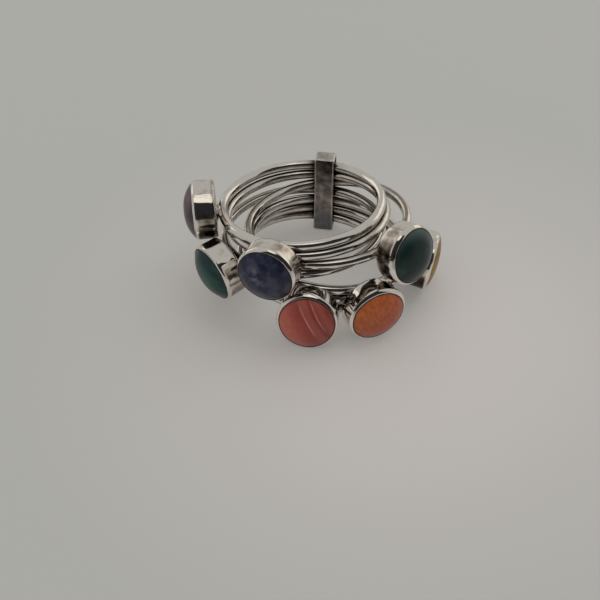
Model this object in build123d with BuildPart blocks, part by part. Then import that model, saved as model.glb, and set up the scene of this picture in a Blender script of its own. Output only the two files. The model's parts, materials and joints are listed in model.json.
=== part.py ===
"""A stackable ring: seven round-wire bands, each with one domed stone, kept together by one bar.

Lengths are in millimetres and angles in degrees.  The ring lies on its side on a surface at z = 0,
with the bar at the back (+Y) and the stones facing the front and both sides.
"""
import os

from build123d import *

# --- the wire bands -------------------------------------------------------------------------------
BAND_RADIUS = 9.5          # to the middle of the wire: the finger opening is 17.8 across
WIRE_RADIUS = 0.58

# Each band lies in its own plane.  The rows go from the top band to the lowest one:
#   height   of the wire along the bar, from the bar's lower end
#   swing    of the band about the bar, + towards +X
#   tilt     of its front, + up
#   roll     about its front-to-back line, + with its -X side down
#   slip     of the wire in the slot, + towards the finger opening
#   cup_at   place of the cup round the band, from its front, + towards +X
#   cup_tip  of the cup out of the band's plane, + up
#   cup_turn of the cup about its place on the wire, + towards +X
#   cup_drop of the cup's middle below the wire's middle
BANDS = [
    # stone     height  swing  tilt  roll   slip  cup_at  cup_tip  cup_turn  cup_drop
    ("plum",    8.99, -18.0,  7.0,  6.0,  0.05,  -68.5,    0.0,     0.5,    -0.35),
    ("navy",    7.73, -14.5,  7.5,  5.5,  0.15,   -7.5,   -3.0,     0.5,     0.65),
    ("bottle",  6.53,   1.0,  8.5,  5.0,  0.05,   49.5,    4.0,    -6.5,     0.55),
    ("moss",    5.33, -17.5,  6.0,  6.0, -0.10,  -41.0,   -9.5,     3.0,     0.50),
    ("honey",   4.02,   1.5,  5.0, -5.5,  0.05,   80.5,   -5.0,    -3.5,    -0.15),
    ("orange",  2.71,  -1.0,  5.5, -5.5,  0.05,   30.5,   -2.0,    -3.0,     0.35),
    ("coral",   1.51,  -5.5,  5.0, -5.0,  0.15,    0.0,    6.5,    -4.0,     0.00),
]

# --- the bar: a narrow upright loop that all the bands run through -------------------------------------
BAR_WIDTH = 2.4            # along the wires
BAR_DEPTH = 2.6            # from its finger side to its outer side
BAR_HEIGHT = 10.45
SLOT_DEPTH = 2.0
SLOT_HEIGHT = 9.3
BAR_EDGE = 0.25            # rounding of its finger side's top and bottom
BAR_CORNER = 0.22          # rounding of its long outer edges
BAR_BEND = 0.9             # rounding of its outer side's top and bottom, where the strip is bent
SLOT_EDGE = 0.2            # rounding of the slot's corners
BAR_FOOT = (1.32, 10.55, 0.04)  # middle of its lower end
BAR_LEAN = 5.0             # top towards the back
BAR_TURN = -9.0            # finger side towards -X
BAR_ROLL = 0.5             # top towards +X

# --- the bezel cups -----------------------------------------------------------------------------------
CUP_STANDOFF = 0.75        # from the middle of the wire to the cup's back plate
CUP_WALL = 2.4             # height of the wall up to the crease where the bezel is bent in
CUP_HEIGHT = 2.7           # height of the bezel's edge, on the stone
CUP_BACK_RADIUS = 3.5
CUP_CREASE_RADIUS = 3.65
CUP_BACK_ROUND = 0.3
CUP_EDGE = 0.08            # thickness of the bezel's edge
CUP_FLOOR = 0.55           # thickness of the back plate
CUP_BORE_RADIUS = 3.42
SOLDER_NECK = 0.45         # radius of the solder at the middle of the wire
SOLDER_WAIST = 0.62        # radius of the solder beside the wire
SOLDER_SPREAD = 1.3        # radius of the solder on the back plate
SOLDER_SINK = 0.2          # how far the solder's solid goes into the back plate

# --- the stones: round cabochons -----------------------------------------------------------------------
STONE_RADIUS = 3.37
STONE_GAP = 0.05           # under the stone, so that it stays a piece of its own
STONE_GIRDLE = 2.65        # top of its straight side, above the outside of the back plate
STONE_TOP = 3.88           # top of its dome, above the same face


def turned(angle_x=0.0, angle_y=0.0, angle_z=0.0):
    """A turn on the spot about the local axes."""
    return Location((0, 0, 0), (angle_x, angle_y, angle_z))


def upright(plane):
    """The plane that holds a plane's X and Z directions, to draw a round piece's half profile on."""
    return Plane(origin=plane.origin, x_dir=plane.x_dir, z_dir=-plane.y_dir)


BAR_AXIS = Location(BAR_FOOT) * turned(angle_x=-BAR_LEAN) * turned(angle_y=BAR_ROLL)


def band_location(height, swing, tilt, roll, slip):
    """Where a band's centre is, with its front along local -Y and its axis along local Z."""
    wire_at_bar = (BAR_AXIS * Location((0, 0, height))).position
    towards_front = turned(angle_z=swing) * turned(angle_x=-tilt) * turned(angle_y=-roll)
    return Location(wire_at_bar) * towards_front * Location((0, -(BAND_RADIUS + slip), 0))


def cup_place(band_place, cup_at, cup_tip, cup_turn, cup_drop=0.0):
    """The outside of a cup's back plate, with Z along the cup's axis, away from the band."""
    on_wire = band_place * turned(angle_z=cup_at) * Location((0, -BAND_RADIUS, -cup_drop))
    outward = turned(angle_z=cup_turn) * turned(angle_x=90 - cup_tip)
    return Plane(on_wire * outward * Location((0, 0, CUP_STANDOFF)))


def make_bar():
    """The closed loop of flat strip, as its side view drawn across: an outline and one long slot."""
    bar_place = Plane(BAR_AXIS * turned(angle_z=BAR_TURN))
    side = Plane(
        origin=bar_place.from_local_coords((0, 0, BAR_HEIGHT / 2)),
        x_dir=bar_place.y_dir,
        z_dir=bar_place.x_dir,
    )
    with BuildPart() as bar:
        with BuildSketch(side):
            Rectangle(BAR_DEPTH, BAR_HEIGHT)
            fillet(vertices().group_by(Axis.X)[-1], radius=BAR_BEND)
            fillet(vertices().group_by(Axis.X)[0], radius=BAR_EDGE)
        extrude(amount=BAR_WIDTH / 2, both=True)
        flanks = bar.faces().sort_by(Axis(side.origin, side.z_dir))
        fillet(flanks[0].edges() + flanks[-1].edges(), radius=BAR_CORNER)
        with BuildSketch(side):
            RectangleRounded(SLOT_DEPTH, SLOT_HEIGHT, SLOT_EDGE)
        extrude(amount=BAR_WIDTH, both=True, mode=Mode.SUBTRACT)
    bar.part.label = "bar"
    return bar.part


def make_band(name, band_place, over_wire, back):
    """A wire band with its bezel cup soldered on: one solid."""
    with BuildPart(Plane(band_place)) as band:
        Torus(BAND_RADIUS, WIRE_RADIUS)
        with BuildSketch(upright(over_wire)):
            with BuildLine():
                Line((0, -CUP_STANDOFF), (SOLDER_NECK, -CUP_STANDOFF))
                ThreePointArc(
                    (SOLDER_NECK, -CUP_STANDOFF),
                    (SOLDER_WAIST, -CUP_STANDOFF / 2),
                    (SOLDER_SPREAD, 0),
                )
                Line((SOLDER_SPREAD, 0), (SOLDER_SPREAD, SOLDER_SINK))
                Line((SOLDER_SPREAD, SOLDER_SINK), (0, SOLDER_SINK))
                Line((0, SOLDER_SINK), (0, -CUP_STANDOFF))
            make_face()
        revolve(axis=Axis(over_wire.origin, over_wire.z_dir))
        with BuildSketch(upright(back)):
            with BuildLine():
                Line((0, 0), (CUP_BACK_RADIUS - CUP_BACK_ROUND, 0))
                RadiusArc(
                    (CUP_BACK_RADIUS - CUP_BACK_ROUND, 0),
                    (CUP_BACK_RADIUS, CUP_BACK_ROUND),
                    -CUP_BACK_ROUND,
                )
                Line((CUP_BACK_RADIUS, CUP_BACK_ROUND), (CUP_CREASE_RADIUS, CUP_WALL))
                Line((CUP_CREASE_RADIUS, CUP_WALL), (CUP_BORE_RADIUS + CUP_EDGE, CUP_HEIGHT))
                Line((CUP_BORE_RADIUS + CUP_EDGE, CUP_HEIGHT), (CUP_BORE_RADIUS, CUP_HEIGHT))
                Line((CUP_BORE_RADIUS, CUP_HEIGHT), (CUP_BORE_RADIUS, CUP_FLOOR))
                Line((CUP_BORE_RADIUS, CUP_FLOOR), (0, CUP_FLOOR))
                Line((0, CUP_FLOOR), (0, 0))
            make_face()
        revolve(axis=Axis(back.origin, back.z_dir))
    band.part.label = f"band_{name}"
    return band.part


def make_stone(name, back):
    """A round cabochon: a straight side in the cup and a low dome above it."""
    with BuildPart() as stone:
        with BuildSketch(upright(back)):
            with BuildLine():
                Line((0, CUP_FLOOR + STONE_GAP), (STONE_RADIUS, CUP_FLOOR + STONE_GAP))
                Line((STONE_RADIUS, CUP_FLOOR + STONE_GAP), (STONE_RADIUS, STONE_GIRDLE))
                TangentArc((0, STONE_TOP), (STONE_RADIUS, STONE_GIRDLE), tangent=(1, 0))
                Line((0, STONE_TOP), (0, CUP_FLOOR + STONE_GAP))
            make_face()
        revolve(axis=Axis(back.origin, back.z_dir))
    stone.part.label = f"stone_{name}"
    return stone.part


os.makedirs("parts", exist_ok=True)
export_step(make_bar(), "parts/bar.step")
for stone_name, height, swing, tilt, roll, slip, at, tip, turn, drop in BANDS:
    place = band_location(height, swing, tilt, roll, slip)
    solder_plane = cup_place(place, at, tip, turn)
    back_plane = cup_place(place, at, tip, turn, drop)
    band = make_band(stone_name, place, solder_plane, back_plane)
    export_step(band, f"parts/band_{stone_name}.step")
    export_step(make_stone(stone_name, back_plane), f"parts/stone_{stone_name}.step")
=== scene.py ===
"""A stackable ring in sterling silver: seven wire bands, each with one domed stone, and one bar.

The script goes through the ring in the order in which a silversmith puts it together.
Mesh sizes are written in millimetres, and mm() turns them into the frame's metres.
"""
import json
from collections import namedtuple
from math import atan2, cos, exp, pi, radians, sin, tau

import bpy
import numpy as np
from mathutils import Matrix, Vector, noise


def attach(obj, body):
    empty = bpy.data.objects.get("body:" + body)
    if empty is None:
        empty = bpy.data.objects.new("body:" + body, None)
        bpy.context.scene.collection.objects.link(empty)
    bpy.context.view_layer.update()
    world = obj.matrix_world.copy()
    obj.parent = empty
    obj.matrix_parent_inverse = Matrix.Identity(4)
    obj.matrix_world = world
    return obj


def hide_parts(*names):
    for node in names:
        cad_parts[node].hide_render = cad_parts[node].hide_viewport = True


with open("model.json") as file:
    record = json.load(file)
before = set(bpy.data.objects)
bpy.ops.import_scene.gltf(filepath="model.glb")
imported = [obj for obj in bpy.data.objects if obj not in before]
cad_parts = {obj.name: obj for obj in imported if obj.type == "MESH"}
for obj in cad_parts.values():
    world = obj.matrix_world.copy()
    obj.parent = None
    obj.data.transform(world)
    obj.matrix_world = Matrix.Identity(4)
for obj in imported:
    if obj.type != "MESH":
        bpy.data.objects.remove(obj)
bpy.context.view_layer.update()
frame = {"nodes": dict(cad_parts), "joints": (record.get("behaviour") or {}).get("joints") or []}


# --- The bar ------------------------------------------------------------------------------------
# One strip of flat silver, bent into a tall narrow loop and soldered shut.  All seven bands run
# through it.  Its edges are filed round, and its finger side is dark with tarnish, darker still at
# its top with a painted dark reflection, and painted shade darkens its lower end.

BAR_WIDTH = 2.4
BAR_DEPTH = 2.6
BAR_HEIGHT = 10.45
BAR_SLOT_DEPTH = 2.0
BAR_SLOT_HEIGHT = 9.3
BAR_BEND = 0.9             # rounding of its outer side's top and bottom
BAR_EDGE = 0.25            # rounding of its finger side's top and bottom
BAR_CORNER = 0.22          # rounding of its long outer edges
BAR_SLOT_EDGE = 0.06       # rounding of the slot's long edges
BAR_SLOT_CORNER = 0.2
BAR_UNEVEN = 0.012         # how far the file left its sides from flat
FILE_MARKS = 0.12          # width of the file's marks, coarser than real so that they show
BAR_PATCHES = 1.1          # size of the patches of tarnish

# How dark each side is, from 0 to 1: tarnish, and at the top of the finger side a painted dark
# reflection.
SIDES_DARK = 0.38
FINGER_SIDE_DARK = 0.22    # added on the finger side
FINGER_TOP_DARK = 0.32     # added at the top of the finger side, a painted dark reflection
ENDS_DARK = 0.25
ENDS_RUBBED = 0.2          # taken off at the finger side of the ends
EDGES_DARK = 0.12
SLOT_DARK = 0.6

SHARE, FIRST, SECOND = 0, 6, 7  # the inputs of a Mix node that mixes colours
MIXED = 2                       # and its output


def mm(value):
    """Millimetres to the frame's metres."""
    return value * 0.001


def linear(colour):
    """An sRGB hex colour such as "c0b8a8" as linear red, green, blue and a full alpha."""
    parts = [int(colour[at:at + 2], 16) / 255 for at in (0, 2, 4)]
    return [p / 12.92 if p <= 0.04045 else ((p + 0.055) / 1.055) ** 2.4 for p in parts] + [1.0]


def node(material, kind, settings={}, inputs={}, stops=()):
    """Adds a shader node.  An input is a value or a socket that feeds it; stops fill a ramp."""
    made = material.node_tree.nodes.new(kind)
    for name, value in settings.items():
        setattr(made, name, value)
    for name, value in inputs.items():
        if isinstance(value, bpy.types.NodeSocket):
            material.node_tree.links.new(value, made.inputs[name])
        else:
            made.inputs[name].default_value = value
    for at, (place, colour) in enumerate(stops):
        ramp = made.color_ramp.elements
        stop = ramp[at] if at < 2 else ramp.new(place)
        stop.position = place
        stop.color = linear(colour)
    return made


def new_material(name):
    """An empty node material."""
    material = bpy.data.materials.new(name)
    material.use_nodes = True
    material.node_tree.nodes.clear()
    return material


def in_millimetres(material):
    """The piece's own coordinates in millimetres, so a pattern's scale is one over its size."""
    place = node(material, "ShaderNodeTexCoord").outputs["Object"]
    return node(material, "ShaderNodeVectorMath", {"operation": "SCALE"},
                {0: place, "Scale": 1000.0}).outputs["Vector"]


def new_piece(name, points, faces, place, material, smooth=True):
    """A mesh object from points in millimetres, placed by a matrix in metres."""
    mesh = bpy.data.meshes.new(name)
    mesh.from_pydata([[mm(value) for value in point] for point in points], [], faces)
    mesh.polygons.foreach_set("use_smooth", [smooth] * len(mesh.polygons))
    mesh.materials.append(material)
    mesh.update()
    piece = bpy.data.objects.new(name, mesh)
    bpy.context.scene.collection.objects.link(piece)
    piece.matrix_world = place
    return piece


def mark(piece, name, values):
    """Keeps one number for each point of a mesh, which a material can read by name."""
    attribute = piece.data.attributes.new(name, "FLOAT", "POINT")
    attribute.data.foreach_set("value", values)


def placed(origin, x_axis, y_axis, z_axis):
    """The matrix of a place with these three directions."""
    place = Matrix((x_axis, y_axis, z_axis)).transposed().to_4x4()
    place.translation = origin
    return place


def mesh_centre(node_name):
    """The middle of a CAD node's volume, in metres."""
    mesh = frame["nodes"][node_name].data
    mesh.calc_loop_triangles()
    volume, moment = 0.0, Vector((0, 0, 0))
    for triangle in mesh.loop_triangles:
        a, b, c = (mesh.vertices[at].co for at in triangle.vertices)
        share = a.dot(b.cross(c)) / 6
        volume += share
        moment += (a + b + c) * (share / 4)
    return moment / volume


def main_directions(node_name):
    """A CAD node's three main directions, shortest extent first."""
    mesh = frame["nodes"][node_name].data
    centre = mesh_centre(node_name)
    spread = np.zeros((3, 3))
    for triangle in mesh.loop_triangles:
        corners = np.array([mesh.vertices[at].co - centre for at in triangle.vertices])
        total = corners.sum(axis=0)
        spread += triangle.area * (np.outer(total, total) + corners.T @ corners)
    return [Vector(direction) for direction in np.linalg.eigh(spread)[1].T]


def reach(node_name, direction):
    """How low and how high a CAD node reaches along a direction."""
    along = [point.co.dot(direction) for point in frame["nodes"][node_name].data.vertices]
    return min(along), max(along)


def find_bar():
    """The bar's place: its middle, X along the wires, Y to its outer side and Z up."""
    directions = main_directions("bar")
    up = directions[2] * (1 if directions[2].z > 0 else -1)
    back = max(directions[:2], key=lambda direction: abs(direction.y))
    back = back * (1 if back.y > 0 else -1)
    side = back.cross(up)
    middle = Vector()
    for direction in (side, back, up):
        middle += direction * (sum(reach("bar", direction)) / 2)
    return placed(middle, side, back, up)


BAR_PLACE = find_bar()

# Sterling silver, filed and then darkened by tarnish.  It gives a brown-grey metal with soft,
# broken reflections, fine upright file marks, brighter edges where it is rubbed, and painted shade
# that turns it a darker, bluer grey towards its lower end.
worn_and_shaded_silver = new_material("tarnished_and_shaded_sterling_silver")
bar_mm = in_millimetres(worn_and_shaded_silver)
bar_marks_place = node(worn_and_shaded_silver, "ShaderNodeVectorMath", {"operation": "MULTIPLY"}, {
    0: bar_mm, 1: (1.0, 1.0, 0.12)}).outputs["Vector"]
bar_marks = node(worn_and_shaded_silver, "ShaderNodeTexNoise", {}, {
    "Vector": bar_marks_place, "Scale": 1 / FILE_MARKS, "Detail": 3.0,
    "Roughness": 0.6}).outputs["Fac"]
bar_patches = node(worn_and_shaded_silver, "ShaderNodeTexNoise", {}, {
    "Vector": bar_mm, "Scale": 1 / BAR_PATCHES, "Detail": 5.0, "Roughness": 0.6}).outputs["Fac"]
bar_tarnish_and_shade = node(worn_and_shaded_silver, "ShaderNodeAttribute", {
    "attribute_name": "tarnish_and_shade"}).outputs["Fac"]
bar_even = node(worn_and_shaded_silver, "ShaderNodeMath", {"operation": "SUBTRACT"}, {
    0: bar_tarnish_and_shade, 1: 0.55}).outputs[0]
bar_dark = node(worn_and_shaded_silver, "ShaderNodeMath", {"operation": "MULTIPLY_ADD"}, {
    0: bar_patches, 1: 1.1, 2: bar_even}).outputs[0]
bar_brown = node(worn_and_shaded_silver, "ShaderNodeValToRGB", {}, {"Fac": bar_dark}, [
    (0.0, "e4dfd8"), (1.0, "35312f"), (0.3, "b9b0a8"), (0.65, "7f7772")]).outputs["Color"]
bar_height = node(worn_and_shaded_silver, "ShaderNodeSeparateXYZ", {}, {"Vector": bar_mm}).outputs["Z"]
# Painted shade: towards its lower end the bar turns a darker, bluer grey.
bar_low_shade = node(worn_and_shaded_silver, "ShaderNodeMapRange", {"interpolation_type": "SMOOTHSTEP"}, {
    "Value": bar_height, "From Min": -1.0, "From Max": -3.5, "To Max": 0.7}).outputs["Result"]
bar_colour = node(worn_and_shaded_silver, "ShaderNodeMix", {"data_type": "RGBA"}, {
    SHARE: bar_low_shade, FIRST: bar_brown, SECOND: linear("666b70")}).outputs[MIXED]
bar_roughness = node(worn_and_shaded_silver, "ShaderNodeMapRange", {}, {
    "Value": bar_patches, "From Min": 0.3, "From Max": 0.7, "To Min": 0.24,
    "To Max": 0.4}).outputs["Result"]
bar_bump = node(worn_and_shaded_silver, "ShaderNodeBump", {}, {
    "Height": bar_marks, "Strength": 0.35, "Distance": mm(0.02)}).outputs["Normal"]
bar_metal = node(worn_and_shaded_silver, "ShaderNodeBsdfPrincipled", {}, {
    "Base Color": bar_colour, "Metallic": 1.0, "Roughness": bar_roughness, "Normal": bar_bump})
node(worn_and_shaded_silver, "ShaderNodeOutputMaterial", {}, {"Surface": bar_metal.outputs[0]})


def rounded_outline(depth, height, finger_round, outer_round):
    """Once round a loop's side view: (depth, height) points with the same count for any size."""
    corners = []
    for y_sign, z_sign, rounding in ((1, -1, outer_round), (1, 1, outer_round),
                                     (-1, 1, finger_round), (-1, -1, finger_round)):
        middle = (y_sign * (depth / 2 - rounding), z_sign * (height / 2 - rounding))
        start = atan2(z_sign, y_sign) - pi / 4
        corners.append([(middle[0] + rounding * cos(start + pi * step / 16),
                         middle[1] + rounding * sin(start + pi * step / 16)) for step in range(9)])
    points = []
    for corner, after, steps in zip(corners, corners[1:] + corners[:1], (24, 4, 24, 4)):
        points += corner
        (y_from, z_from), (y_to, z_to) = corner[-1], after[0]
        for step in range(1, steps):
            share = step / steps
            points.append((y_from + (y_to - y_from) * share, z_from + (z_to - z_from) * share))
    return points


def make_bar():
    """The strip's rounded section, carried once round the loop, a little uneven as hand-filed."""
    outer = rounded_outline(BAR_DEPTH, BAR_HEIGHT, BAR_EDGE, BAR_BEND)
    inner = rounded_outline(BAR_SLOT_DEPTH, BAR_SLOT_HEIGHT, BAR_SLOT_CORNER, BAR_SLOT_CORNER)
    points, faces, tarnish_and_shade = [], [], []
    for (y_out, z_out), (y_in, z_in) in zip(outer, inner):
        inwards = Vector((y_in - y_out, z_in - z_out)).normalized()
        finger_side = min(max(0.5 - y_out / BAR_DEPTH, 0), 1)
        top = min(max((z_out / BAR_HEIGHT - 0.12) / 0.3, 0), 1)
        # The top of the finger side gets a painted dark reflection over its tarnish.
        dark = SIDES_DARK + (FINGER_SIDE_DARK + FINGER_TOP_DARK * top) * finger_side
        if abs(z_out) > BAR_HEIGHT / 2 - 0.15:
            dark = ENDS_DARK - ENDS_RUBBED * finger_side ** 4
        half = BAR_WIDTH / 2 + BAR_UNEVEN * noise.noise(Vector((y_out, z_out * 0.8, 3.7)))
        section = [((half - BAR_CORNER) * (step / 3 - 1), 0.0, dark, False) for step in range(7)]
        for step in range(1, 6):
            bend = radians(90 * step / 5)
            section.append((half - BAR_CORNER * (1 - sin(bend)),
                            BAR_CORNER * (1 - cos(bend)), EDGES_DARK, False))
        for step in range(6):
            bend = radians(90 * step / 5)
            section.append((half - BAR_SLOT_EDGE * (1 - cos(bend)),
                            BAR_SLOT_EDGE * (1 - sin(bend)), SLOT_DARK, True))
        section += [(-x, inset, dark, slot) for x, inset, dark, slot in reversed(section[7:])]
        for x, inset, dark, slot in section:
            y, z = (y_in, z_in) if slot else (y_out, z_out)
            away = -inset if slot else inset
            points.append((x, y + inwards.x * away, z + inwards.y * away))
            tarnish_and_shade.append(dark)
    rows = len(section)
    for station in range(len(outer)):
        after = (station + 1) % len(outer)
        for row in range(rows):
            next_row = (row + 1) % rows
            faces.append((station * rows + row, after * rows + row,
                          after * rows + next_row, station * rows + next_row))
    piece = new_piece("bar_loop", points, faces, BAR_PLACE, worn_and_shaded_silver)
    mark(piece, "tarnish_and_shade", tarnish_and_shade)
    return piece


bar = make_bar()
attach(bar, "bar")
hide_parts("bar")


# --- The wire bands -----------------------------------------------------------------------------
# Seven closed rings of round silver wire, drawn, bent on a mandrel and soldered shut.  The bar
# keeps them together, and each can turn through it.

BAND_RADIUS = 9.5          # to the middle of the wire
WIRE_RADIUS = 0.58
WIRE_UNEVEN = 0.008        # how far its thickness wanders
BAND_STEPS = 288
WIRE_STEPS = 24
RUBBED = ("plum", "honey")  # the two outer bands, which wear keeps bright
DRAWING_LINES = 0.15       # width of the lines along it, coarser than real so that they show
WIRE_PATCHES = 1.2         # size of the patches of wear

# How dark the wire is: with tarnish near the bar and near its cup, and on each side of its
# section, where it is partly tarnish and partly painted shade.  The parts add up, to 1 at most.
BY_BAR_DARK = 0.7
BY_CUP_DARK = 0.7
BY_RUBBED_CUP_DARK = 0.2   # by the cup of a rubbed band
# Its underside, top and inside: partly tarnish, partly painted shade where the wires face the
# table, each other and the ring's inside.
UNDER_DARK = 0.85
TOP_DARK = 0.5
INSIDE_DARK = 0.12

# Sterling silver wire, polished.  It mirrors the room in thin bright and dark lines, which fine
# drawing lines along the wire break up a little, and its underside is a darker brown, partly
# tarnish and partly painted shade.
drawn_silver = new_material("polished_sterling_silver_wire")
wire_mm = in_millimetres(drawn_silver)
wire_parts = node(drawn_silver, "ShaderNodeSeparateXYZ", {}, {"Vector": wire_mm})
wire_turn = node(drawn_silver, "ShaderNodeMath", {"operation": "ARCTAN2"}, {
    0: wire_parts.outputs["X"], 1: wire_parts.outputs["Y"]}).outputs[0]
wire_flat = node(drawn_silver, "ShaderNodeVectorMath", {"operation": "MULTIPLY"}, {
    0: wire_mm, 1: (1.0, 1.0, 0.0)}).outputs["Vector"]
wire_out = node(drawn_silver, "ShaderNodeVectorMath", {"operation": "LENGTH"}, {
    0: wire_flat}).outputs["Value"]
wire_along = node(drawn_silver, "ShaderNodeCombineXYZ", {}, {
    "X": wire_turn, "Y": wire_out, "Z": wire_parts.outputs["Z"]}).outputs["Vector"]
wire_lines = node(drawn_silver, "ShaderNodeTexNoise", {}, {
    "Vector": wire_along, "Scale": 1 / DRAWING_LINES, "Detail": 2.0,
    "Roughness": 0.6}).outputs["Fac"]
wire_wear = node(drawn_silver, "ShaderNodeTexNoise", {}, {
    "Vector": wire_mm, "Scale": 1 / WIRE_PATCHES, "Detail": 3.0, "Roughness": 0.6}).outputs["Fac"]
wire_tarnish_and_shade = node(drawn_silver, "ShaderNodeAttribute", {
    "attribute_name": "tarnish_and_shade"}).outputs["Fac"]
wire_even = node(drawn_silver, "ShaderNodeMath", {"operation": "SUBTRACT"}, {
    0: wire_tarnish_and_shade, 1: 0.25}).outputs[0]
wire_dark = node(drawn_silver, "ShaderNodeMath", {"operation": "MULTIPLY_ADD"}, {
    0: wire_wear, 1: 0.5, 2: wire_even}).outputs[0]
wire_colour = node(drawn_silver, "ShaderNodeValToRGB", {}, {"Fac": wire_dark}, [
    (0.0, "f2eee8"), (1.0, "292422"), (0.35, "b0a9a1"), (0.7, "615850")]).outputs["Color"]
wire_roughness = node(drawn_silver, "ShaderNodeMapRange", {}, {
    "Value": wire_wear, "From Min": 0.3, "From Max": 0.7, "To Min": 0.05,
    "To Max": 0.12}).outputs["Result"]
wire_bump = node(drawn_silver, "ShaderNodeBump", {}, {
    "Height": wire_lines, "Strength": 0.05, "Distance": mm(0.01)}).outputs["Normal"]
wire_metal = node(drawn_silver, "ShaderNodeBsdfPrincipled", {}, {
    "Base Color": wire_colour, "Metallic": 1.0, "Roughness": wire_roughness,
    "Normal": wire_bump})
node(drawn_silver, "ShaderNodeOutputMaterial", {}, {"Surface": wire_metal.outputs[0]})


def band_places():
    """Each band's place: its centre, its axis along Z, and its stone in the -Y half."""
    places = {}
    for joint in frame["joints"]:
        name = joint["child"].removeprefix("band_")
        centre = Vector(joint["pos_m"])
        axis = Vector(joint["axis"]).normalized()
        to_stone = mesh_centre(f"stone_{name}") - centre
        towards = (to_stone - axis * to_stone.dot(axis)).normalized()
        places[name] = placed(centre, (-towards).cross(axis), -towards, axis)
    return places


BAND_PLACES = band_places()


def make_band(name):
    """A round wire closed into a ring, with darker metal by its cup and where the bar rubs it."""
    place = BAND_PLACES[name]
    to_bar = place.inverted() @ BAR_PLACE.translation
    bar_turn = atan2(to_bar.x, to_bar.y)
    worn = name in RUBBED
    seed = place.translation.z * 999
    points, faces, tarnish_and_shade = [], [], []
    for step in range(BAND_STEPS):
        turn = tau * step / BAND_STEPS
        uneven = noise.noise(Vector((3 * cos(turn), 3 * sin(turn), seed)))
        radius = WIRE_RADIUS + WIRE_UNEVEN * uneven
        from_bar = abs((turn - bar_turn + pi) % tau - pi) * BAND_RADIUS
        from_cup = abs(pi - turn) * BAND_RADIUS
        dark = BY_BAR_DARK * exp(-max(from_bar - BAR_WIDTH / 2, 0) / 0.6)
        dark += (BY_RUBBED_CUP_DARK if worn else BY_CUP_DARK) * exp(-max(from_cup - 1.0, 0) / 0.7)
        for part in range(WIRE_STEPS):
            around = tau * part / WIRE_STEPS
            out = BAND_RADIUS + radius * cos(around)
            points.append((out * sin(turn), out * cos(turn), radius * sin(around)))
            # Painted shade, partly tarnish, on the sides that face the table, the next band and the
            # inside.
            part_dark = dark + UNDER_DARK * max(-sin(around), 0) ** 1.2
            if not worn:
                part_dark += TOP_DARK * max(sin(around), 0) ** 10
                part_dark += INSIDE_DARK * max(-cos(around), 0) ** 1.2
            tarnish_and_shade.append(min(part_dark, 1.0))
            after, next_part = (step + 1) % BAND_STEPS, (part + 1) % WIRE_STEPS
            faces.append((step * WIRE_STEPS + part, step * WIRE_STEPS + next_part,
                          after * WIRE_STEPS + next_part, after * WIRE_STEPS + part))
    piece = new_piece(f"wire_{name}", points, faces, place, drawn_silver)
    mark(piece, "tarnish_and_shade", tarnish_and_shade)
    return piece


for stone_name in BAND_PLACES:
    wire = make_band(stone_name)
    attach(wire, f"band_{stone_name}")
    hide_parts(f"band_{stone_name}")


# --- The bezel cups -----------------------------------------------------------------------------
# A round cup for each stone: a strip of thin silver bent into a wall and soldered to a back plate.
# The cup is soldered to its wire, and the wall's edge is pushed in over the stone with a burnisher,
# which leaves a crease and a slightly uneven bevel.

CUP_STANDOFF = 0.75        # from the middle of the wire to the back plate
CUP_WALL = 2.4             # height of the wall up to its crease
CUP_BACK_RADIUS = 3.5
CUP_CREASE_RADIUS = 3.65
CUP_BACK_ROUND = 0.3
CUP_FLOOR = 0.55
CUP_BORE_RADIUS = 3.42
CUP_EDGE = 0.08            # thickness of the bezel's edge
BEZEL_COVER = 0.12         # how far the edge lies over the stone where it is narrowest
SOLDER_NECK = 0.45         # radius of the solder at the middle of the wire
SOLDER_SPREAD = 1.3        # radius of the solder on the back plate
SOLDER_RUN = 0.25          # how much further it ran to the sides
CREASE_ROUND = 0.06
WALL_UNEVEN = 0.02
CREASE_UNEVEN = 0.015
CREASE_WAVES = 0.05        # how far the crease goes up and down
EDGE_UNEVEN = 0.04
EDGE_MARKS = 0.02          # depth of the single marks of the burnisher
CUP_STEPS = 160
SOLDER_STEPS = 48
STONE_RADIUS = 3.37
STONE_GAP = 0.05           # under the stone
STONE_GIRDLE = 2.65        # top of the stone's straight side
SHEET_WAVES = 1.3          # size of the waves that bending the wall left in it
SHEET_SCRATCHES = 0.1      # width of the polishing scratches, coarser than real so that they show
SHEET_PATCHES = 1.8        # size of the patches of tarnish

# How dark the parts of a cup are, with tarnish, and on the wall's lower half and along the
# bezel's edge partly painted shade.  Below 0, a rubbed part stays bright everywhere.
BACK_DARK = 0.3
BACK_EDGE_DARK = 0.35
# The wall's lower half: partly tarnish, partly painted shade.
UNDER_WALL_DARK = 0.85
WALL_BRIGHT = -0.05
CREASE_BRIGHT = -0.3
BEVEL_BRIGHT = -0.25
BEVEL_DARK = 0.55          # added at the bezel's darkest place
RUBBED_SOLDER_DARK = 0.3   # share of the tarnish that the solder of a rubbed band keeps

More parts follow.
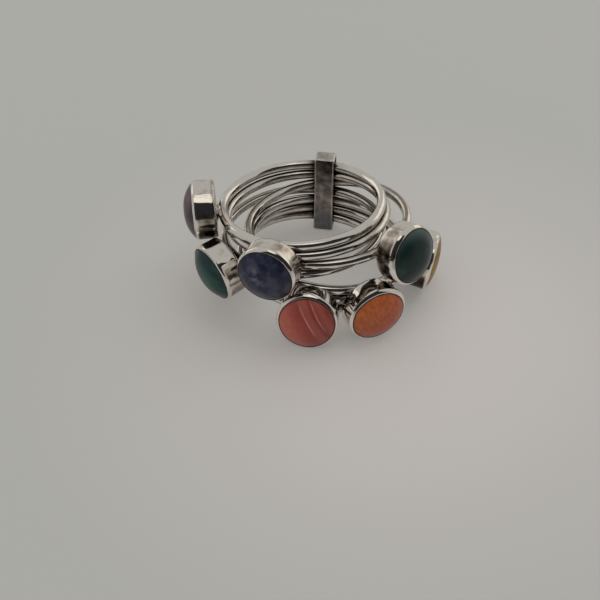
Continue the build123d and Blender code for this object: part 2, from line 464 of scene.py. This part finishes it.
# How each bezel lies on its stone.  Angles go anticlockwise from the stone's right, in degrees.
#   wide_at   where it reaches furthest over the stone
#   wide_by   how much wider it is there, falling to nothing on the other side
#   dark_at   where its bevel is darkest, and where wall_dark is centred
#   dome_top  the height of the stone's dome above the outside of the back plate
#   less_by   how much smaller the crease's radius is on the narrow side
#   wall_dark how much darker the wall is at dark_at than elsewhere: a painted reflection and
#             shade, and below 0 a lighter painted reflection
Bezel = namedtuple("Bezel", "wide_at wide_by dark_at dome_top less_by wall_dark")
BEZELS = {
    # stone         wide_at  wide_by  dark_at  dome_top  less_by  wall_dark
    "plum":   Bezel(90,      0.02,    335,     3.88,     0.12,    0.55),
    "navy":   Bezel(60,      0.12,    30,      3.88,     0.18,    0.45),
    "bottle": Bezel(155,     0.20,    160,     3.80,     0.10,    0.70),
    "moss":   Bezel(60,      0.04,    70,      3.88,     0.15,    0.00),
    "honey":  Bezel(180,     0.02,    205,     3.35,     0.11,    0.60),
    "orange": Bezel(80,      0.14,    150,     3.88,     -0.05,   -0.50),
    "coral":  Bezel(120,     0.16,    50,      3.88,     0.08,    -0.50),
}

# Sterling silver sheet, polished.  It gives hard mirror reflections with small waves where the
# wall was worked by hand, brown tarnish along the joints, and a dark brown along the bezel's edge
# and on the wall's lower half that is partly tarnish and partly painted shade.
polished_silver = new_material("polished_sterling_silver_sheet")
sheet_mm = in_millimetres(polished_silver)
sheet_waves = node(polished_silver, "ShaderNodeTexNoise", {}, {
    "Vector": sheet_mm, "Scale": 1 / SHEET_WAVES, "Detail": 0.0}).outputs["Fac"]
sheet_scratch_place = node(polished_silver, "ShaderNodeVectorMath", {"operation": "MULTIPLY"}, {
    0: sheet_mm, 1: (1.0, 1.0, 0.15)}).outputs["Vector"]
sheet_scratches = node(polished_silver, "ShaderNodeTexNoise", {}, {
    "Vector": sheet_scratch_place, "Scale": 1 / SHEET_SCRATCHES, "Detail": 2.0,
    "Roughness": 0.6}).outputs["Fac"]
sheet_patches = node(polished_silver, "ShaderNodeTexNoise", {}, {
    "Vector": sheet_mm, "Scale": 1 / SHEET_PATCHES, "Detail": 2.0,
    "Roughness": 0.5}).outputs["Fac"]
sheet_tarnish_and_shade = node(polished_silver, "ShaderNodeAttribute", {
    "attribute_name": "tarnish_and_shade"}).outputs["Fac"]
sheet_even = node(polished_silver, "ShaderNodeMath", {"operation": "SUBTRACT"}, {
    0: sheet_tarnish_and_shade, 1: 0.75}).outputs[0]
sheet_dark = node(polished_silver, "ShaderNodeMath", {"operation": "MULTIPLY_ADD"}, {
    0: sheet_patches, 1: 1.5, 2: sheet_even}).outputs[0]
sheet_colour = node(polished_silver, "ShaderNodeValToRGB", {}, {"Fac": sheet_dark}, [
    (0.0, "f2eee8"), (1.0, "28221f"), (0.35, "bcb2a9"), (0.7, "62564e")]).outputs["Color"]
sheet_roughness = node(polished_silver, "ShaderNodeMapRange", {}, {
    "Value": sheet_dark, "To Min": 0.05, "To Max": 0.22}).outputs["Result"]
sheet_broad = node(polished_silver, "ShaderNodeBump", {}, {
    "Height": sheet_waves, "Strength": 0.6, "Distance": mm(0.1)}).outputs["Normal"]
sheet_bump = node(polished_silver, "ShaderNodeBump", {}, {
    "Height": sheet_scratches, "Strength": 0.06, "Distance": mm(0.006),
    "Normal": sheet_broad}).outputs["Normal"]
sheet_metal = node(polished_silver, "ShaderNodeBsdfPrincipled", {}, {
    "Base Color": sheet_colour, "Metallic": 1.0, "Roughness": sheet_roughness,
    "Normal": sheet_bump})
node(polished_silver, "ShaderNodeOutputMaterial", {}, {"Surface": sheet_metal.outputs[0]})


def find_cup(name):
    """The cup's place: its back plate's outside at z = 0, its axis along Z, Y up the stone."""
    stone = f"stone_{name}"
    centre = mesh_centre(stone)
    axis = main_directions(stone)[0]
    if axis.dot(centre - BAND_PLACES[name].translation) < 0:
        axis = -axis
    under = reach(stone, axis)[0] - centre.dot(axis)
    back = centre + axis * (under - mm(CUP_FLOOR + STONE_GAP))
    sideways = BAND_PLACES[name].to_3x3() @ Vector((1, 0, 0))
    sideways = (sideways - axis * sideways.dot(axis)).normalized()
    return placed(back, sideways, axis.cross(sideways), axis)


CUP_PLACES = {name: find_cup(name) for name in BAND_PLACES}


def solder_place(name):
    """The cup's place moved along the band's axis, so that its own axis starts from the wire."""
    band = BAND_PLACES[name]
    place = CUP_PLACES[name].copy()
    axis = place.to_3x3() @ Vector((0, 0, 1))
    below = place.translation - axis * mm(CUP_STANDOFF)
    in_band = band.inverted() @ below
    place.translation += band @ Vector((in_band.x, in_band.y, 0)) - below
    return place


def dome_height(name, radius):
    """A stone's height at this distance from its middle: rounder at its shoulder than on top."""
    rise = BEZELS[name].dome_top - STONE_GIRDLE
    return STONE_GIRDLE + rise * (1 - (radius / STONE_RADIUS) ** 2.5)


def narrowing(name, angle):
    """From 0 where a bezel is widest to 1 on the other side."""
    return 0.5 - 0.5 * cos(angle - radians(BEZELS[name].wide_at))


def by_hand(name, angle, waves, other=0):
    """A hand's unevenness round a cup, about -1 to 1, which differs from cup to cup."""
    seed = sum(map(ord, name)) + other
    return noise.noise(Vector((waves * cos(angle), waves * sin(angle), seed)))


def bezel_edge(name, angle):
    """How far from the stone's middle the bezel ends, slightly uneven as the burnisher left it."""
    cover = BEZEL_COVER + BEZELS[name].wide_by * (1 - narrowing(name, angle)) ** 1.5
    return (CUP_BORE_RADIUS + CUP_EDGE - cover - EDGE_UNEVEN * by_hand(name, angle, 1.5)
            - EDGE_MARKS * by_hand(name, angle, 5, 50))


def turned_piece(name, outline, steps, place, material):
    """A piece turned about Z.  outline(angle) lists (radius, height, tarnish) from pole to pole."""
    points, tarnish_and_shade, faces = [], [], []
    for step in range(steps):
        angle = tau * step / steps
        ring = outline(angle)
        for radius, height, dark in ring[1:-1]:
            points.append((radius * cos(angle), radius * sin(angle), height))
            tarnish_and_shade.append(dark)
    rows = len(ring) - 2
    for radius, height, dark in (ring[0], ring[-1]):
        points.append((0.0, 0.0, height))
        tarnish_and_shade.append(dark)
    first_pole, last_pole = len(points) - 2, len(points) - 1
    for step in range(steps):
        here, after = step * rows, (step + 1) % steps * rows
        faces.append((first_pole, after, here))
        faces.append((last_pole, here + rows - 1, after + rows - 1))
        for row in range(rows - 1):
            faces.append((here + row, after + row, after + row + 1, here + row + 1))
    piece = new_piece(name, points, faces, place, material)
    mark(piece, "tarnish_and_shade", tarnish_and_shade)
    return piece


def make_cup(name):
    """Back plate, wall, crease and burnished bevel, closed on its inside under the stone."""
    bezel = BEZELS[name]

    def outline(angle):
        uneven = by_hand(name, angle, 1.5)
        edge = bezel_edge(name, angle)
        edge_height = dome_height(name, min(edge, STONE_RADIUS)) + 0.05
        crease = (CUP_CREASE_RADIUS - bezel.less_by * narrowing(name, angle)
                  + CREASE_UNEVEN * uneven)
        crease_height = CUP_WALL + CREASE_ROUND + CREASE_WAVES * uneven
        bulge = WALL_UNEVEN * by_hand(name, angle, 2.5, 9)
        from_dark = (angle - radians(bezel.dark_at) + pi) % tau - pi
        bevel_dark = BEVEL_DARK * exp(-(from_dark / 0.6) ** 2) + BEVEL_BRIGHT
        # The wall's lower half is darker: partly tarnish, partly painted shade.
        underneath = max(-sin(angle), 0) ** 0.7
        # Round dark_at, wall_dark adds the bezel's painted reflection and shade, lighter where it
        # is below 0.
        wall_dark = (UNDER_WALL_DARK * underneath
                     + bezel.wall_dark * exp(-(from_dark / 0.8) ** 2) + WALL_BRIGHT)

        ring = [(0.0, 0.0, 1.0), (SOLDER_SPREAD, 0.0, 0.9), (CUP_BACK_RADIUS - 0.8, 0.0, 0.4),
                (CUP_BACK_RADIUS - CUP_BACK_ROUND, 0.0, BACK_DARK)]
        for part in range(1, 6):
            bend = radians(90 * part / 5)
            ring.append((CUP_BACK_RADIUS - CUP_BACK_ROUND * (1 - sin(bend)),
                         CUP_BACK_ROUND * (1 - cos(bend)), BACK_EDGE_DARK))
        for part in range(1, 7):
            share = part / 7
            radius = CUP_BACK_RADIUS + (crease - CUP_BACK_RADIUS) * share
            ring.append((radius + bulge * sin(pi * share),
                         CUP_BACK_ROUND + (crease_height - CUP_BACK_ROUND) * share, wall_dark))
        slope = atan2(edge_height - crease_height, edge - crease)
        for part in range(5):
            bend = (slope - pi / 2) * part / 4
            ring.append((crease - CREASE_ROUND * (1 - cos(bend)),
                         crease_height + CREASE_ROUND * (sin(bend) - 0.4), CREASE_BRIGHT))
        for part in range(1, 8):
            share = part / 8
            height = crease_height + (edge_height - crease_height) * share
            ring.append((crease + (edge - crease) * share,
                         height + 0.2 * (crease - edge) * sin(pi * share),
                         bevel_dark if part > 2 else CREASE_BRIGHT))
        # A thin dark line along the bezel's inner edge: partly tarnish, partly painted shade of the
        # gap beside the stone.
        ring += [(edge + 0.02, edge_height, max(bevel_dark, 0.3)),
                 (edge - 0.005, edge_height - 0.015, 0.9), (edge, edge_height - 0.09, 1.0),
                 (CUP_BORE_RADIUS, CUP_WALL - 0.3, 1.0), (CUP_BORE_RADIUS, CUP_FLOOR, 1.0),
                 (0.0, CUP_FLOOR, 1.0)]
        return ring

    return turned_piece(f"cup_{name}", outline, CUP_STEPS, CUP_PLACES[name], polished_silver)


def make_solder(name):
    """The solder that flowed between the wire and the back plate, hollow-sided and tarnished."""
    dark = RUBBED_SOLDER_DARK if name in RUBBED else 1

    def outline(angle):
        spread = SOLDER_SPREAD + SOLDER_RUN * cos(angle) ** 2
        ring = [(0.0, -CUP_STANDOFF, 1.0), (SOLDER_NECK, -CUP_STANDOFF, 1.0)]
        for part in range(1, 9):
            share = part / 9
            ring.append((SOLDER_NECK + (spread - SOLDER_NECK) * share ** 2.2,
                         -CUP_STANDOFF * (1 - share), dark * (0.9 - 0.3 * share)))
        ring += [(spread, 0.02, dark * 0.6), (0.0, 0.05, 1.0)]
        return ring

    return turned_piece(f"solder_{name}", outline, SOLDER_STEPS, solder_place(name),
                        polished_silver)


for stone_name in BAND_PLACES:
    for metal in (make_cup(stone_name), make_solder(stone_name)):
        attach(metal, f"band_{stone_name}")
        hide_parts(f"band_{stone_name}")


# --- The stones ---------------------------------------------------------------------------------
# Round cabochons, ground flat below and domed above, and polished.  Each sits in its cup, and the
# bezel's edge holds it.

STONE_STEPS = 128
DOME_ROWS = 40
DIRT_AND_SHADE_WIDTH = 0.12          # width of the dark line along the bezel's edge, partly dirt and partly painted shade


def polished_stone(material, colour, roughness, gloss):
    """A stone's shader: a worn polish over a dense body, and a dark line of dirt and painted shade.
    """
    dirt_and_shade = node(material, "ShaderNodeAttribute", {"attribute_name": "tarnish_and_shade"}).outputs["Fac"]
    with_dirt_and_shade = node(material, "ShaderNodeMix", {"data_type": "RGBA"}, {
        SHARE: dirt_and_shade, FIRST: colour, SECOND: linear("17120f")}).outputs[MIXED]
    body = node(material, "ShaderNodeBsdfPrincipled", {}, {
        "Base Color": with_dirt_and_shade, "Roughness": roughness, "IOR": 1.54, "Specular IOR Level": gloss})
    node(material, "ShaderNodeOutputMaterial", {}, {"Surface": body.outputs[0]})


def tilted(material, place, angle, stretch):
    """Stone coordinates turned so that X runs across the grain, and drawn out along it."""
    turned = node(material, "ShaderNodeMapping", {}, {
        "Vector": place, "Rotation": (0, 0, radians(-angle))}).outputs["Vector"]
    return node(material, "ShaderNodeVectorMath", {"operation": "MULTIPLY"}, {
        0: turned, 1: (1.0, 1 / stretch, 1.0)}).outputs["Vector"]


# Red spiny oyster shell: two thin pale growth lines run across it between broad lighter and darker
# bands of red, and fine streaks run along them.
CORAL_CLOUDS = 3.0
CORAL_STREAKS = 0.22       # width of the growth streaks
coral = new_material("polished_red_spiny_oyster_shell")
coral_mm = in_millimetres(coral)
coral_grain = tilted(coral, coral_mm, 34, 4.0)
coral_cloud = node(coral, "ShaderNodeTexNoise", {}, {
    "Vector": coral_grain, "Scale": 1 / CORAL_CLOUDS, "Detail": 2.0,
    "Roughness": 0.55}).outputs["Fac"]
coral_straight = node(coral, "ShaderNodeSeparateXYZ", {}, {"Vector": coral_grain}).outputs["X"]
coral_wavy = node(coral, "ShaderNodeMath", {"operation": "MULTIPLY_ADD"}, {
    0: coral_cloud, 1: 0.3, 2: coral_straight}).outputs[0]
coral_across = node(coral, "ShaderNodeMapRange", {}, {
    "Value": coral_wavy, "From Min": -3.25, "From Max": 3.55}).outputs["Result"]
coral_bands = node(coral, "ShaderNodeValToRGB", {}, {"Fac": coral_across}, [
    (0.0, "b8695b"), (1.0, "8c443b"), (0.25, "ad594b"), (0.41, "95433a"), (0.52, "8a3832"),
    (0.58, "93473d"), (0.66, "95493f"), (0.73, "7b322c"), (0.79, "88403a"), (0.86, "934b3c"),
    (0.93, "7d3730")]).outputs["Color"]
coral_lines = node(coral, "ShaderNodeValToRGB", {}, {"Fac": coral_across}, [
    (0.0, "000000"), (1.0, "000000"), (0.550, "000000"), (0.568, "ffffff"), (0.586, "000000"),
    (0.742, "000000"), (0.760, "e0e0e0"), (0.778, "000000")]).outputs["Color"]
coral_away = node(coral, "ShaderNodeVectorMath", {"operation": "DISTANCE"}, {
    0: coral_mm, 1: (0.6, 1.0, 3.8)}).outputs["Value"]
coral_fading = node(coral, "ShaderNodeMapRange", {"interpolation_type": "SMOOTHSTEP"}, {
    "Value": coral_away, "From Min": 2.9, "From Max": 1.0, "To Max": 0.65}).outputs["Result"]
coral_pale = node(coral, "ShaderNodeMath", {"operation": "MULTIPLY"}, {
    0: coral_lines, 1: coral_fading}).outputs[0]
coral_lined = node(coral, "ShaderNodeMix", {"data_type": "RGBA"}, {
    SHARE: coral_pale, FIRST: coral_bands, SECOND: linear("c9988a")}).outputs[MIXED]
coral_fine = node(coral, "ShaderNodeTexNoise", {}, {
    "Vector": coral_grain, "Scale": 1 / CORAL_STREAKS, "Detail": 3.0,
    "Roughness": 0.55}).outputs["Fac"]
coral_streaks = node(coral, "ShaderNodeMapRange", {}, {
    "Value": coral_fine, "From Min": 0.42, "From Max": 0.72, "To Max": 0.4}).outputs["Result"]
coral_colour = node(coral, "ShaderNodeMix", {"data_type": "RGBA"}, {
    SHARE: coral_streaks, FIRST: coral_lined, SECOND: linear("7a322b")}).outputs[MIXED]
polished_stone(coral, coral_colour, roughness=0.3, gloss=0.35)

# Orange spiny oyster shell: finely mottled orange that turns redder to its lower right.
ORANGE_MOTTLE = 0.35
orange = new_material("polished_orange_spiny_oyster_shell")
orange_mm = in_millimetres(orange)
orange_side = node(orange, "ShaderNodeVectorMath", {"operation": "DOT_PRODUCT"}, {
    0: orange_mm, 1: (0.8, -0.6, 0.0)}).outputs["Value"]
orange_turn = node(orange, "ShaderNodeMapRange", {}, {
    "Value": orange_side, "From Min": -2.0, "From Max": 2.5}).outputs["Result"]
orange_base = node(orange, "ShaderNodeMix", {"data_type": "RGBA"}, {
    SHARE: orange_turn, FIRST: linear("ad5e30"), SECOND: linear("ae5340")}).outputs[MIXED]
orange_mottle = node(orange, "ShaderNodeTexNoise", {}, {
    "Vector": tilted(orange, orange_mm, 20, 2.0), "Scale": 1 / ORANGE_MOTTLE, "Detail": 5.0,
    "Roughness": 0.55}).outputs["Fac"]
orange_share = node(orange, "ShaderNodeMapRange", {}, {
    "Value": orange_mottle, "From Min": 0.38, "From Max": 0.62, "To Max": 0.6}).outputs["Result"]
orange_colour = node(orange, "ShaderNodeMix", {"data_type": "RGBA"}, {
    SHARE: orange_share, FIRST: orange_base, SECOND: linear("873d1e")}).outputs[MIXED]
polished_stone(orange, orange_colour, roughness=0.3, gloss=0.35)

# Sodalite: dark blue with faint grey-blue clouds, palest in one place beside its middle.
NAVY_CLOUDS = 1.6
navy = new_material("polished_sodalite")
navy_mm = in_millimetres(navy)
navy_cloud = node(navy, "ShaderNodeTexNoise", {}, {
    "Vector": navy_mm, "Scale": 1 / NAVY_CLOUDS, "Detail": 3.0,
    "Roughness": 0.55}).outputs["Fac"]
navy_share = node(navy, "ShaderNodeMapRange", {"interpolation_type": "SMOOTHSTEP"}, {
    "Value": navy_cloud, "From Min": 0.40, "From Max": 0.66}).outputs["Result"]
navy_away = node(navy, "ShaderNodeVectorMath", {"operation": "DISTANCE"}, {
    0: navy_mm, 1: (-0.9, 0.5, 3.8)}).outputs["Value"]
navy_near = node(navy, "ShaderNodeMapRange", {"interpolation_type": "SMOOTHSTEP"}, {
    "Value": navy_away, "From Min": 1.5, "From Max": 0.1, "To Min": 0.22}).outputs["Result"]
navy_pale = node(navy, "ShaderNodeMath", {"operation": "MULTIPLY"}, {
    0: navy_share, 1: navy_near}).outputs[0]
navy_colour = node(navy, "ShaderNodeMix", {"data_type": "RGBA"}, {
    SHARE: navy_pale, FIRST: linear("141931"), SECOND: linear("6e7186")}).outputs[MIXED]
polished_stone(navy, navy_colour, roughness=0.3, gloss=0.3)

# Dark green agate: nearly black in its depth, with a greyer, lighter green towards its edge that is
# partly its thinner translucent edge and partly a painted sheen.
BOTTLE_CLOUDS = 3.0
bottle = new_material("polished_dark_green_agate")
bottle_mm = in_millimetres(bottle)
bottle_cloud = node(bottle, "ShaderNodeTexNoise", {}, {
    "Vector": bottle_mm, "Scale": 1 / BOTTLE_CLOUDS, "Detail": 2.0,
    "Roughness": 0.55}).outputs["Fac"]
bottle_share = node(bottle, "ShaderNodeMapRange", {"interpolation_type": "SMOOTHSTEP"}, {
    "Value": bottle_cloud, "From Min": 0.45, "From Max": 0.7}).outputs["Result"]
bottle_deep = node(bottle, "ShaderNodeMix", {"data_type": "RGBA"}, {
    SHARE: bottle_share, FIRST: linear("112423"), SECOND: linear("243f3b")}).outputs[MIXED]
# Partly a painted sheen: a lighter, greyer green away from one point near the middle.
bottle_away = node(bottle, "ShaderNodeVectorMath", {"operation": "DISTANCE"}, {
    0: bottle_mm, 1: (-0.6, -0.3, 3.6)}).outputs["Value"]
bottle_rim_sheen = node(bottle, "ShaderNodeMapRange", {"interpolation_type": "SMOOTHSTEP"}, {
    "Value": bottle_away, "From Min": 2.2, "From Max": 4.0, "To Max": 0.7}).outputs["Result"]
bottle_colour = node(bottle, "ShaderNodeMix", {"data_type": "RGBA"}, {
    SHARE: bottle_rim_sheen, FIRST: bottle_deep, SECOND: linear("4c5b56")}).outputs[MIXED]
polished_stone(bottle, bottle_colour, roughness=0.3, gloss=0.25)

# Malachite: deep green with slightly lighter, softly bounded bands.
MOSS_BANDS = 1.6
moss = new_material("polished_malachite")
moss_cloud = node(moss, "ShaderNodeTexNoise", {}, {
    "Vector": tilted(moss, in_millimetres(moss), 60, 3.0), "Scale": 1 / MOSS_BANDS, "Detail": 2.0,
    "Roughness": 0.55}).outputs["Fac"]
moss_share = node(moss, "ShaderNodeMapRange", {"interpolation_type": "SMOOTHSTEP"}, {
    "Value": moss_cloud, "From Min": 0.4, "From Max": 0.7}).outputs["Result"]
moss_colour = node(moss, "ShaderNodeMix", {"data_type": "RGBA"}, {
    SHARE: moss_share, FIRST: linear("162c2d"), SECOND: linear("204c45")}).outputs[MIXED]
polished_stone(moss, moss_colour, roughness=0.3, gloss=0.25)

# Amethyst: milky, greyish purple.
PLUM_CLOUDS = 2.2
plum = new_material("polished_milky_amethyst")
plum_cloud = node(plum, "ShaderNodeTexNoise", {}, {
    "Vector": in_millimetres(plum), "Scale": 1 / PLUM_CLOUDS, "Detail": 3.0,
    "Roughness": 0.55}).outputs["Fac"]
plum_colour = node(plum, "ShaderNodeValToRGB", {}, {"Fac": plum_cloud}, [
    (0.35, "3b2834"), (0.68, "665060")]).outputs["Color"]
polished_stone(plum, plum_colour, roughness=0.3, gloss=0.35)

# Golden mother-of-pearl: silky gold in thin layers, browner where it is thick.
HONEY_LAYERS = 0.9
honey = new_material("polished_golden_mother_of_pearl")
honey_layers = node(honey, "ShaderNodeTexNoise", {}, {
    "Vector": tilted(honey, in_millimetres(honey), 80, 5.0), "Scale": 1 / HONEY_LAYERS,
    "Detail": 3.0, "Roughness": 0.55}).outputs["Fac"]
honey_colour = node(honey, "ShaderNodeValToRGB", {}, {"Fac": honey_layers}, [
    (0.35, "7b6131"), (0.68, "aa8540")]).outputs["Color"]
polished_stone(honey, honey_colour, roughness=0.4, gloss=0.12)

STONE_MATERIALS = {
    "coral": coral, "orange": orange, "navy": navy, "bottle": bottle, "moss": moss, "plum": plum,
    "honey": honey,
}


def make_stone(name):
    """A cabochon: flat below, a straight girdle inside the bezel, and a low dome."""
    under = CUP_FLOOR + STONE_GAP

    def outline(angle):
        edge = bezel_edge(name, angle)
        ring = [(0.0, under, 0.0), (STONE_RADIUS - 0.1, under, 0.0),
                (STONE_RADIUS, under + 0.1, 0.0), (STONE_RADIUS, STONE_GIRDLE - 0.1, 1.0),
                (STONE_RADIUS, STONE_GIRDLE, 1.0)]
        for row in range(1, DOME_ROWS):
            radius = STONE_RADIUS * cos(radians(90 * row / DOME_ROWS))
            # The dark line along the bezel's edge: partly dirt, partly painted shade.
            dirt_and_shade = min(max(1.5 - (edge - radius) / DIRT_AND_SHADE_WIDTH, 0), 1)
            ring.append((radius, dome_height(name, radius), dirt_and_shade))
        ring.append((0.0, dome_height(name, 0), 0.0))
        return ring

    return turned_piece(f"cabochon_{name}", outline, STONE_STEPS, CUP_PLACES[name],
                        STONE_MATERIALS[name])


for stone_name in BAND_PLACES:
    stone = make_stone(stone_name)
    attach(stone, f"band_{stone_name}")
    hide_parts(f"stone_{stone_name}")


# --- The table and the studio -------------------------------------------------------------------
# A matt pale grey board, wide enough for any view, under large soft lamps.  The silver also mirrors
# a bright panel overhead, a dark card in front and two bright windows at the back, which only it
# can see.

FLOOR_HALF = 3000
FLOOR_CLOUDS = 0.03        # size of its faint lighter patches, in metres
FLOOR_GLOW = 0.38          # share of its plain colour, without shadow, in what the eye sees

# Uncoated grey board.  It gives a flat, even grey, with a painted pool of light that makes it a
# little warmer and lighter under the ring.  Part of it shows its plain colour to the eye, directly,
# in a mirror or through glass.
matt_grey = new_material("matt_pale_grey_board")
floor_place = node(matt_grey, "ShaderNodeTexCoord").outputs["Object"]
floor_cloud = node(matt_grey, "ShaderNodeTexNoise", {}, {
    "Vector": floor_place, "Scale": 1 / FLOOR_CLOUDS, "Detail": 3.0}).outputs["Fac"]
# A painted pool of light: warmer and lighter near the ring, fading to the plain grey by 48 mm.
floor_away = node(matt_grey, "ShaderNodeVectorMath", {"operation": "DISTANCE"}, {
    0: floor_place, 1: (mm(9), mm(-10), 0)}).outputs["Value"]
floor_fading = node(matt_grey, "ShaderNodeMapRange", {"interpolation_type": "SMOOTHSTEP"}, {
    "Value": floor_away, "From Min": mm(8), "From Max": mm(48)}).outputs["Result"]
floor_near = node(matt_grey, "ShaderNodeMix", {"data_type": "RGBA"}, {
    SHARE: floor_cloud, FIRST: linear("bbb7b3"), SECOND: linear("beb9b5")}).outputs[MIXED]
floor_colour = node(matt_grey, "ShaderNodeMix", {"data_type": "RGBA"}, {
    SHARE: floor_fading, FIRST: floor_near, SECOND: linear("adada9")}).outputs[MIXED]
floor_board = node(matt_grey, "ShaderNodeBsdfPrincipled", {}, {
    "Base Color": floor_colour, "Roughness": 0.75, "Specular IOR Level": 0.2})
floor_even = node(matt_grey, "ShaderNodeEmission", {}, {"Color": floor_colour})
floor_rays = node(matt_grey, "ShaderNodeLightPath").outputs
floor_mirrored = node(matt_grey, "ShaderNodeMath", {"operation": "MAXIMUM"}, {
    0: floor_rays["Is Glossy Ray"], 1: floor_rays["Is Transmission Ray"]}).outputs[0]
floor_seen = node(matt_grey, "ShaderNodeMath", {"operation": "MAXIMUM"}, {
    0: floor_rays["Is Camera Ray"], 1: floor_mirrored}).outputs[0]
floor_glow = node(matt_grey, "ShaderNodeMath", {"operation": "MULTIPLY"}, {
    0: floor_seen, 1: FLOOR_GLOW}).outputs[0]
floor_both = node(matt_grey, "ShaderNodeMixShader", {}, {
    0: floor_glow, 1: floor_board.outputs[0], 2: floor_even.outputs[0]})
node(matt_grey, "ShaderNodeOutputMaterial", {}, {"Surface": floor_both.outputs[0]})

floor = new_piece("table_top", [(-FLOOR_HALF, -FLOOR_HALF, 0), (FLOOR_HALF, -FLOOR_HALF, 0),
                                (FLOOR_HALF, FLOOR_HALF, 0), (-FLOOR_HALF, FLOOR_HALF, 0)],
                  [(0, 1, 2, 3)], Matrix.Identity(4), matt_grey, smooth=False)


def glowing(name, low, high, top):
    """A card that shows in the silver: its colour at its foot, and from a height in metres."""
    material = new_material(name)
    place = node(material, "ShaderNodeTexCoord").outputs["Object"]
    height = node(material, "ShaderNodeSeparateXYZ", {}, {"Vector": place}).outputs["Z"]
    share = node(material, "ShaderNodeMapRange", {}, {
        "Value": height, "From Max": top}).outputs["Result"]
    colour = node(material, "ShaderNodeMix", {"data_type": "RGBA"}, {
        SHARE: share, FIRST: linear(low), SECOND: linear(high)}).outputs[MIXED]
    light = node(material, "ShaderNodeEmission", {}, {"Color": colour})
    node(material, "ShaderNodeOutputMaterial", {}, {"Surface": light.outputs[0]})
    return material


def sky_patch(name, sides, heights, distance, material):
    """A card, part of a dome round the ring, which lights nothing and shows only in mirrors.

    sides and heights are ranges of degrees; sides count from the front.
    """
    points, faces = [], []
    steps = 24
    for row in range(steps + 1):
        up = radians(heights[0] + (heights[1] - heights[0]) * row / steps)
        for column in range(steps + 1):
            side = radians(sides[0] + (sides[1] - sides[0]) * column / steps)
            points.append((distance * cos(up) * sin(side), -distance * cos(up) * cos(side),
                           distance * sin(up)))
    for row in range(steps):
        for column in range(steps):
            at = row * (steps + 1) + column
            faces.append((at, at + 1, at + steps + 2, at + steps + 1))
    card = new_piece(name, points, faces, Matrix.Identity(4), material)
    card.visible_camera = False
    card.visible_diffuse = False
    card.visible_shadow = False
    card.visible_transmission = False


sky_patch("dark_card", (-48, 70), (0.5, 66), 600, glowing("black_card", "433733", "29282b", 0.15))
sky_patch("bright_panel", (-60, 60), (68, 96), 500,
          glowing("white_panel", "f6f0e4", "f6f0e4", 1.0))
sky_patch("left_window", (-160, -112), (6, 30), 600,
          glowing("left_daylight", "efe8dc", "efe8dc", 1.0))
sky_patch("right_window", (112, 160), (6, 30), 600,
          glowing("right_daylight", "efe8dc", "efe8dc", 1.0))

world = bpy.data.worlds.new("pale_room")
bpy.context.scene.world = world
world.use_nodes = True
world.node_tree.nodes["Background"].inputs["Color"].default_value = linear("b0aeaa")
world.node_tree.nodes["Background"].inputs["Strength"].default_value = 1.0


def soft_lamp(name, direction, distance, size, power):
    """A large square white lamp that points at the ring and doesn't show in the silver."""
    data = bpy.data.lights.new(name, "AREA")
    data.shape = "SQUARE"
    data.size = mm(size)
    data.energy = power
    lamp = bpy.data.objects.new(name, data)
    bpy.context.scene.collection.objects.link(lamp)
    lamp.location = Vector(direction).normalized() * mm(distance)
    lamp.rotation_mode = "QUATERNION"
    lamp.rotation_quaternion = Vector(direction).to_track_quat("Z", "Y")
    lamp.visible_glossy = False
    lamp.visible_camera = False


soft_lamp("key_lamp", (0.35, 0.55, 1.0), distance=700, size=900, power=3.25)
soft_lamp("fill_lamp", (-0.5, -0.8, 0.9), distance=800, size=1000, power=1.95)

scene = bpy.context.scene
scene.view_settings.view_transform = "Standard"

camera_data = bpy.data.cameras.new("camera")
camera_data.sensor_width = 36
camera_data.lens = 85.5
camera_data.clip_start = mm(5)
camera_data.clip_end = 20
camera = bpy.data.objects.new("camera", camera_data)
scene.collection.objects.link(camera)
camera.location = (mm(-1.78), mm(-130.0), mm(117.8))
camera.rotation_euler = (radians(47), 0, 0)
scene.camera = camera
